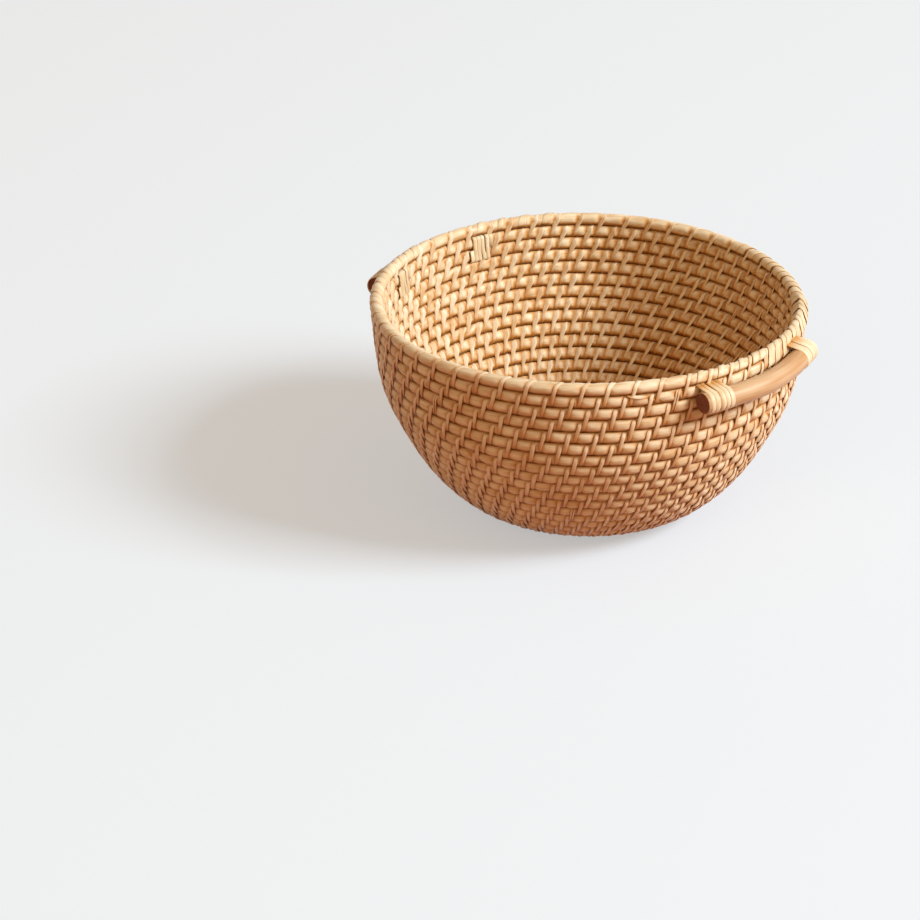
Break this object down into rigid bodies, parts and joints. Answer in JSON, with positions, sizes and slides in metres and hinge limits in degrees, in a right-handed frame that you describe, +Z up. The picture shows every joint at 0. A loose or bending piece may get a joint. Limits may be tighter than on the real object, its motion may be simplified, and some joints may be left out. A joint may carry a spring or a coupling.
{
  "type": "bowl",
  "caption": "Deep round bowl of coiled rattan cane, with a flat base, a rounded wall and a short bent-pole handle bound on below the rim at each side.",
  "frame": {"origin": "middle of the flat bottom that the bowl stands on", "axes": "+Z up along the bowl's axis, +X from the bowl's middle towards the tip of the coil on the rim, with one handle at 40.5 degrees from +X towards -Y and the other on the opposite side"},
  "size_m": [0.2617, 0.2533, 0.1301],
  "materials": {
    "rattan_core": "matte",
    "rattan_pole": "satin",
    "rattan_peel": "satin"
  },
  "bodies": {
    "root": {"base_cane": "rattan_core", "wall_cane_01": "rattan_core", "wall_cane_02": "rattan_core", "wall_cane_03": "rattan_core", "wall_cane_04": "rattan_core", "wall_cane_05": "rattan_core", "wall_cane_06": "rattan_core", "wall_cane_07": "rattan_core", "wall_cane_08": "rattan_core", "wall_cane_09": "rattan_core", "wall_cane_10": "rattan_core", "wall_cane_11": "rattan_core", "wall_cane_12": "rattan_core", "wall_cane_13": "rattan_core", "rim_cane": "rattan_core", "front_handle": "rattan_pole", "front_binding_left": "rattan_peel", "front_binding_right": "rattan_peel", "back_handle": "rattan_pole", "back_binding_left": "rattan_peel", "back_binding_right": "rattan_peel"}
  },
  "joints": []
}
